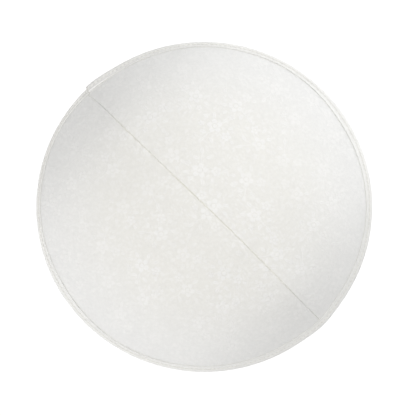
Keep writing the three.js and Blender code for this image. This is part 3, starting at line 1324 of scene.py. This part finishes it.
@dataclass(frozen=True)
class Thread:
    """White sewing thread, twisted from two plies."""

    name: str = "sewing thread"
    # dark is painted shade for the grooves between the plies; light is the thread's own colour.
    light: Colour = (0.80, 0.79, 0.75, 1)
    dark: Colour = (0.66, 0.65, 0.60, 1)
    ply: float = 0.35
    ply_way: Triple = (1 / MM, 0.8 / MM, 1.1 / MM)
    ply_depth: float = 0.04 * MM
    roughness: float = 0.5

    def material(self, groups: Dict[str, Tree]) -> Finish:
        """Makes the thread's material.

        Args:
            groups: the shader groups, by name.

        Returns:
            The material.
        """
        material, nodes, shader = new_material(self.name)
        space = nodes.add("TexCoord").outputs["Object"]
        tone = nodes.group(groups["tone"], Place=space)
        # Painted shade: the thread is darker in the grooves between its twisted plies, where the bump is low.
        # This is mixed with random tone.
        slanted = nodes.vector("DOT_PRODUCT", space, self.ply_way)
        twist = nodes.math("SINE", nodes.math("DIVIDE", slanted, self.ply / (2 * math.pi)))
        share = nodes.math("MULTIPLY_ADD", twist, 0.5, 0.5)
        mixed = nodes.math("MULTIPLY", nodes.math("ADD", share, tone.outputs["Fine"]), 0.5)
        colour = nodes.blend(mixed, self.dark, self.light, "RGBA")
        bump = nodes.add("Bump")
        nodes.feed(bump, Distance=self.ply_depth, Height=share)
        nodes.feed(shader, Base_Color=colour, Normal=bump.outputs[0], Roughness=self.roughness)
        return material


@dataclass(frozen=True)
class SoftLight:
    """An oblong soft light that points at the cap, with its angles in degrees."""

    name: str
    azimuth: float
    elevation: float
    width: float
    height: float
    watts: float
    colour: Triple = (1, 1, 1)
    distance: float = 2.4

    def add(self) -> None:
        """Adds the light."""
        data = bpy.data.lights.new(self.name, "AREA")
        data.shape = "RECTANGLE"
        data.size = self.width
        data.size_y = self.height
        data.energy = self.watts
        data.color = self.colour
        light = bpy.data.objects.new(self.name, data)
        bpy.context.collection.objects.link(light)
        azimuth, elevation = math.radians(self.azimuth), math.radians(self.elevation)
        level = math.cos(elevation) * self.distance
        spot = Vector((
            level * math.cos(azimuth),
            level * math.sin(azimuth),
            math.sin(elevation) * self.distance,
        ))
        light.location = spot
        light.rotation_euler = spot.to_track_quat("Z", "Y").to_euler()


@dataclass(frozen=True)
class Studio:
    """The pale floor, the soft light and the camera straight above the cap."""

    camera_height: float = 1.0
    frame_width: float = 225.3 * MM
    sensor: float = 36.0
    aim: Pair = (2.0 * MM, -0.6 * MM)
    floor_side: float = 8.0
    floor_colour: Colour = (0.80, 0.80, 0.80, 1)
    floor_roughness: float = 0.9
    floor_glow: float = 0.22
    surround: float = 0.13
    lights: Tuple[SoftLight, ...] = (
        SoftLight("top", azimuth=45, elevation=89, width=1.4, height=1.4, watts=51.5,
                  colour=(1, 0.995, 0.985)),
        SoftLight("key", azimuth=45, elevation=12, width=1.6, height=0.8, watts=25, colour=(0.97, 0.985, 1)),
        SoftLight("fill", azimuth=225, elevation=12, width=1.6, height=0.8, watts=18.5),
    )

    def add_camera(self) -> None:
        """Adds the camera at the photograph's angle and framing."""
        data = bpy.data.cameras.new("camera")
        data.sensor_width = self.sensor
        data.lens = self.sensor * self.camera_height / self.frame_width
        camera = bpy.data.objects.new("camera", data)
        bpy.context.collection.objects.link(camera)
        camera.location = (self.aim[0], self.aim[1], self.camera_height)
        bpy.context.scene.camera = camera

    def add_floor(self) -> None:
        """Adds the floor."""
        bpy.ops.object.select_all(action="DESELECT")
        bpy.ops.mesh.primitive_plane_add(size=self.floor_side)
        floor = active_piece("floor")
        material, nodes, shader = new_material("pale floor")
        nodes.feed(shader, Base_Color=self.floor_colour, Roughness=self.floor_roughness)
        nodes.feed(shader, Emission_Color=(1, 1, 1, 1), Emission_Strength=self.floor_glow)
        floor.data.materials.append(material)

    def add_light(self) -> None:
        """Adds the soft lights and the even light round them."""
        world = bpy.data.worlds.new("studio")
        world.use_nodes = True
        back = world.node_tree.nodes["Background"]
        back.inputs["Color"].default_value = (1, 1, 1, 1)
        back.inputs["Strength"].default_value = self.surround
        bpy.context.scene.world = world
        for light in self.lights:
            light.add()
        bpy.context.scene.view_settings.view_transform = "Standard"


FIGURED_CLOTH = WovenCloth(
    name="figured cloth",
    ground=(0.778, 0.770, 0.738, 1),
    figure=(0.822, 0.817, 0.804, 1),
    rim=(0.780, 0.779, 0.770, 1),
    ground_roughness=0.62,
    figure_roughness=0.42,
    pitch=0.30,
    weave_depth=0.035,
    figure_depth=0.08,
    sheen=0.15,
    sheen_roughness=0.4,
)
WRONG_SIDE = WovenCloth(
    name="figured cloth wrong side",
    ground=(0.775, 0.768, 0.735, 1),
    figure=(0.735, 0.728, 0.695, 1),
    rim=(0.775, 0.768, 0.735, 1),
    ground_roughness=0.6,
    figure_roughness=0.75,
    pitch=0.30,
    weave_depth=0.05,
    figure_depth=-0.03,
    sheen=0.1,
    sheen_roughness=0.5,
)
BINDING_CLOTH = WovenCloth(
    name="binding cloth",
    ground=(0.805, 0.801, 0.780, 1),
    figure=(0.805, 0.801, 0.780, 1),
    rim=(0.805, 0.802, 0.785, 1),
    ground_roughness=0.5,
    figure_roughness=0.5,
    pitch=0.26,
    weave_depth=0.03,
    figure_depth=0,
    sheen=0.15,
    sheen_roughness=0.4,
    grain_turn=math.radians(45),
    figured=False,
    # The binding is also darkened towards the seam's ends: painted shade.
    painted_end_shade=0.08,
    # Painted shade at the needle holes and at the lapped end's step.
    painted_shade_line=(0.54, 0.52, 0.45, 1),
    painted_shade_strengths=(0.4, 0.6),
    painted_shade_half_widths=(0.62, 0.40),
    painted_shade_patches=(-0.8, 0.5),
)


PANEL_CUTS = (("right", 0, 35, (0, 0)), ("left", math.pi, 52, (17 * MM, 9 * MM)))


def main() -> None:
    """Builds the studio and then the cap, piece by piece."""
    logging.basicConfig(level=logging.INFO, format="%(name)s: %(message)s", force=True)
    studio = Studio()
    studio.add_camera()
    studio.add_floor()
    studio.add_light()
    LOG.info("studio: camera %.2f m above the floor", studio.camera_height)

    low, high = CAD_BOX
    size = high - low
    form = CrownForm(length=size.x, width=size.y, height=size.z, dents=DENTS)
    groups = {
        "figure": figure_group(),
        "filler": filler_group(),
        "weave": weave_group(),
        "tone": tone_group(),
    }
    outside = FIGURED_CLOTH.material(groups)
    inside = WRONG_SIDE.material(groups)

    binding = RimBinding(form)
    strip = binding.build()
    binding.dress(strip, BINDING_CLOTH.material(groups))
    LOG.info("%s: %d faces", strip.name, len(strip.data.polygons))

    for side, start_turn, grain_turn, grain_shift in PANEL_CUTS:
        panel = CrownPanel(
            name=f"crown_panel_{side}_cloth",
            node=f"crown_panel_{side}",
            form=form,
            binding=binding,
            start_turn=start_turn,
            grain_turn=math.radians(grain_turn),
            grain_shift=grain_shift,
        )
        piece = panel.build()
        panel.dress(piece, outside, inside)
        LOG.info("%s: %d faces", piece.name, len(piece.data.polygons))

    stitches = RimStitches(binding)
    row = stitches.build()
    stitches.dress(row, Thread().material(groups))
    LOG.info("%s: %d faces", row.name, len(row.data.polygons))


if __name__ == "__main__":
    main()
